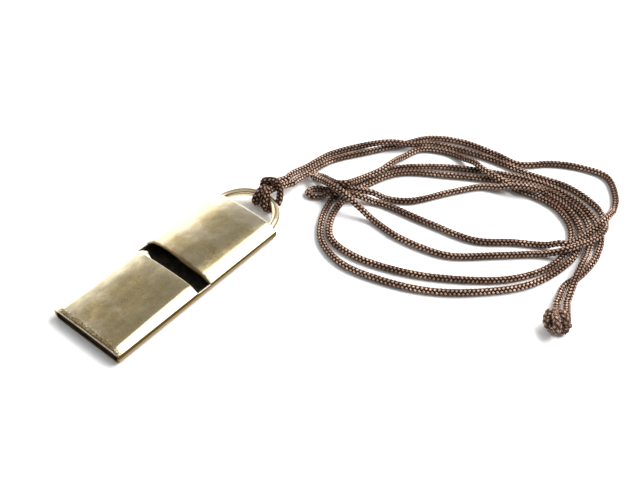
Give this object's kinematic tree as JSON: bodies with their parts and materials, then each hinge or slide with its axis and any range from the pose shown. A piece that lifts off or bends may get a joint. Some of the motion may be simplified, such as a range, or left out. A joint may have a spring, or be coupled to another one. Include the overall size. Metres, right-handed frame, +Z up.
{
  "type": "dog whistle",
  "caption": "Flat brass pea-less dog whistle with a wire ring at its rear end and a thin braided cord, folded in two, hitched to the ring and knotted at its ends.",
  "frame": {"origin": "on the tray's flat bottom, under the middle of the whistle's length with its ring, midway between its sides", "axes": "+X from the mouth to the ring, +Y to the left as seen from the mouth looking along +X, +Z up from the flat bottom"},
  "size_m": [0.114, 0.085, 0.0064],
  "materials": {
    "brass_shell": "fine brushed grain across the whistle, polished on the shoulders",
    "brass_inner": "dull and darkened inside",
    "brass_wire": "drawn wire, lightly polished",
    "braided_cord": "matt braid, dark brown with light tan stitches"
  },
  "bodies": {
    "root": {"lower_shell": "brass_shell", "mouth_cover": "brass_shell", "chamber_cover": "brass_shell", "windway_block": "brass_inner", "end_plug": "brass_inner", "bail": "brass_wire", "hitch_knot": "braided_cord", "cord_strand_a": "braided_cord", "cord_strand_b": "braided_cord", "end_knot": "braided_cord"}
  },
  "joints": []
}
